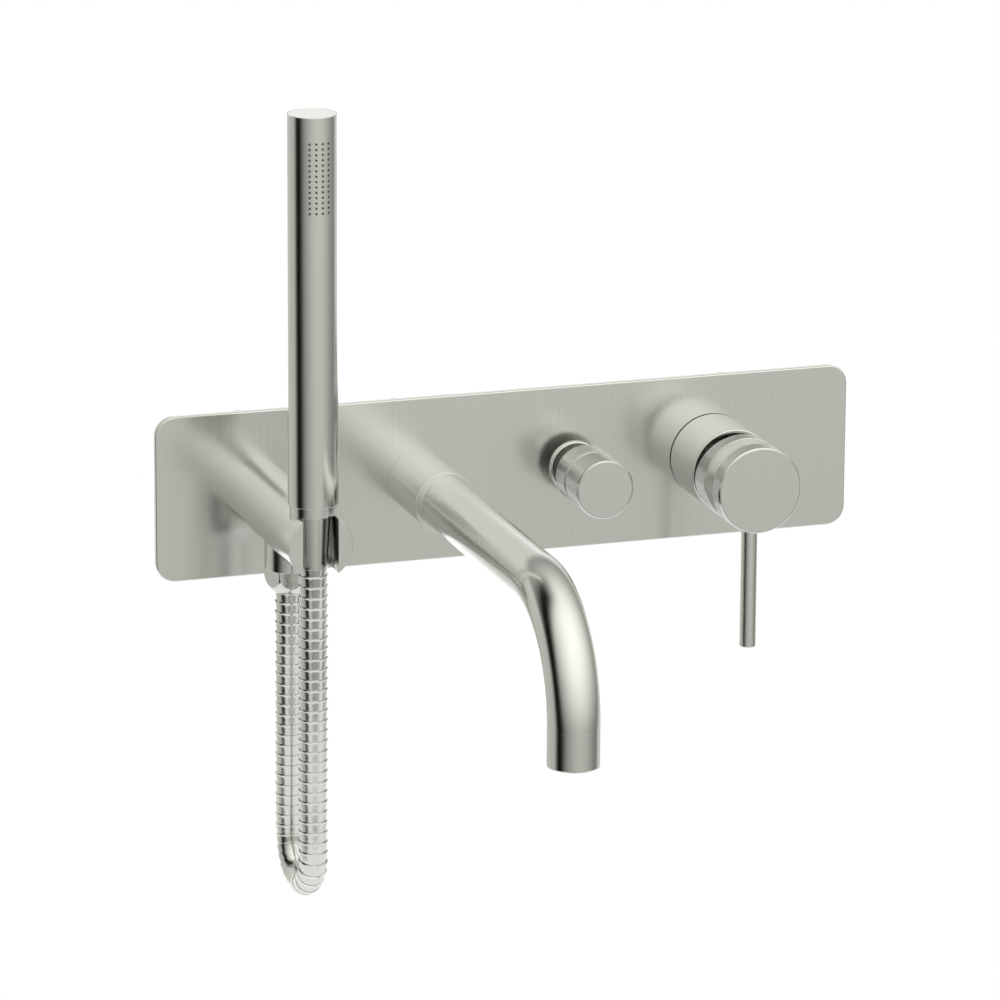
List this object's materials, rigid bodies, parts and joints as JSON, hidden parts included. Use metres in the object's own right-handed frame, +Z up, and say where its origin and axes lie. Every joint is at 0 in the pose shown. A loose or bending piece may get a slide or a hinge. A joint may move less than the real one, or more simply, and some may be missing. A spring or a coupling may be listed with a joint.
{
  "type": "wall mounted bath faucet",
  "caption": "Wall plate with a bent bath spout, a pencil hand shower in a cradle arm with its hose, a knurled diverter knob and a single lever mixer, on an in-wall brass body.",
  "frame": {"origin": "centre of the backplate's back face, on the finished wall", "axes": "+Z up, +X along the backplate to the right as seen from the front, +Y into the wall; the faucet projects along -Y"},
  "size_m": [0.373, 0.3235, 0.4058],
  "materials": {
    "brushed_metal": "brushed nickel, fine vertical grain",
    "satin_metal": "satin nickel, soft reflections",
    "face_metal": "brushed nickel, straight grain across the face",
    "knurled_metal": "knurled satin nickel",
    "hose_metal": "interlocked metal hose, satin",
    "raw_brass": "machined brass",
    "zinc_steel": "zinc plated",
    "black_rubber": "matte",
    "nozzle_rubber": "soft silicone",
    "white_plastic": "moulded",
    "ceramic": "ceramic, lapped"
  },
  "bodies": {
    "root": {"backplate": "brushed_metal", "plate_seal": "black_rubber", "valve_body": "raw_brass", "hot_inlet": "raw_brass", "cold_inlet": "raw_brass", "mounting_rail": "zinc_steel", "rail_screws": "zinc_steel", "flush_plugs": "raw_brass", "arm_nipple": "raw_brass", "arm_o_ring": "black_rubber", "holder_arm": "satin_metal", "outlet_stub": "raw_brass", "check_valve": "white_plastic", "hose_nut": "satin_metal", "hose_washer": "black_rubber", "hose_tail": "raw_brass", "hose": "hose_metal", "spout_nipple": "raw_brass", "spout_o_ring": "black_rubber", "spout_sleeve": "satin_metal", "spout_tube": "satin_metal", "aerator_housing": "satin_metal", "aerator_insert": "white_plastic", "aerator_washer": "black_rubber", "diverter_collar": "satin_metal", "diverter_bonnet": "raw_brass", "diverter_cartridge": "white_plastic", "mixer_sleeve": "satin_metal", "mixer_o_ring": "black_rubber", "cartridge_body": "white_plastic", "cartridge_seal": "black_rubber", "cartridge_nut": "raw_brass", "fixed_disc": "ceramic"},
    "diverter": {"diverter_spindle": "raw_brass", "spindle_o_ring": "black_rubber", "diverter_knob": "knurled_metal", "diverter_screw": "zinc_steel", "diverter_cap": "face_metal"},
    "mixer_swivel": {"moving_disc": "ceramic", "cartridge_core": "zinc_steel", "pivot_pin": "zinc_steel"},
    "mixer_handle": {"mixer_stem": "zinc_steel", "mixer_knob": "knurled_metal", "mixer_lever": "satin_metal", "mixer_cap": "face_metal"},
    "hose_end": {"hose_ferrule": "satin_metal", "filter_washer": "black_rubber"},
    "handset": {"handset_tube": "satin_metal", "handset_cap": "face_metal", "handset_collar": "satin_metal", "handset_socket": "white_plastic", "nozzle_liner": "nozzle_rubber", "water_tube": "white_plastic"}
  },
  "joints": [
    {"name": "diverter_turn", "type": "hinge", "parent": "root", "child": "diverter", "pos_m": [0.037, 0, 0], "axis": [0, 1, 0], "range_deg": [0, 90]},
    {"name": "mixer_swivel_turn", "type": "hinge", "parent": "root", "child": "mixer_swivel", "pos_m": [0.1116, 0, 0], "axis": [0, -1, 0], "range_deg": [-50, 50]},
    {"name": "mixer_lift", "type": "hinge", "parent": "mixer_swivel", "child": "mixer_handle", "pos_m": [0.1116, -0.04, 0], "axis": [-1, 0, 0], "range_deg": [0, 20]},
    {"name": "handset_lift", "type": "slide", "parent": "root", "child": "hose_end", "axis": [0, 0, 1], "range_m": [0, 0.03], "deforming": ["hose"]},
    {"name": "handset_swivel", "type": "hinge", "parent": "hose_end", "child": "handset", "pos_m": [-0.1315, -0.096, 0.1], "axis": [0, 0, 1], "continuous": true}
  ]
}
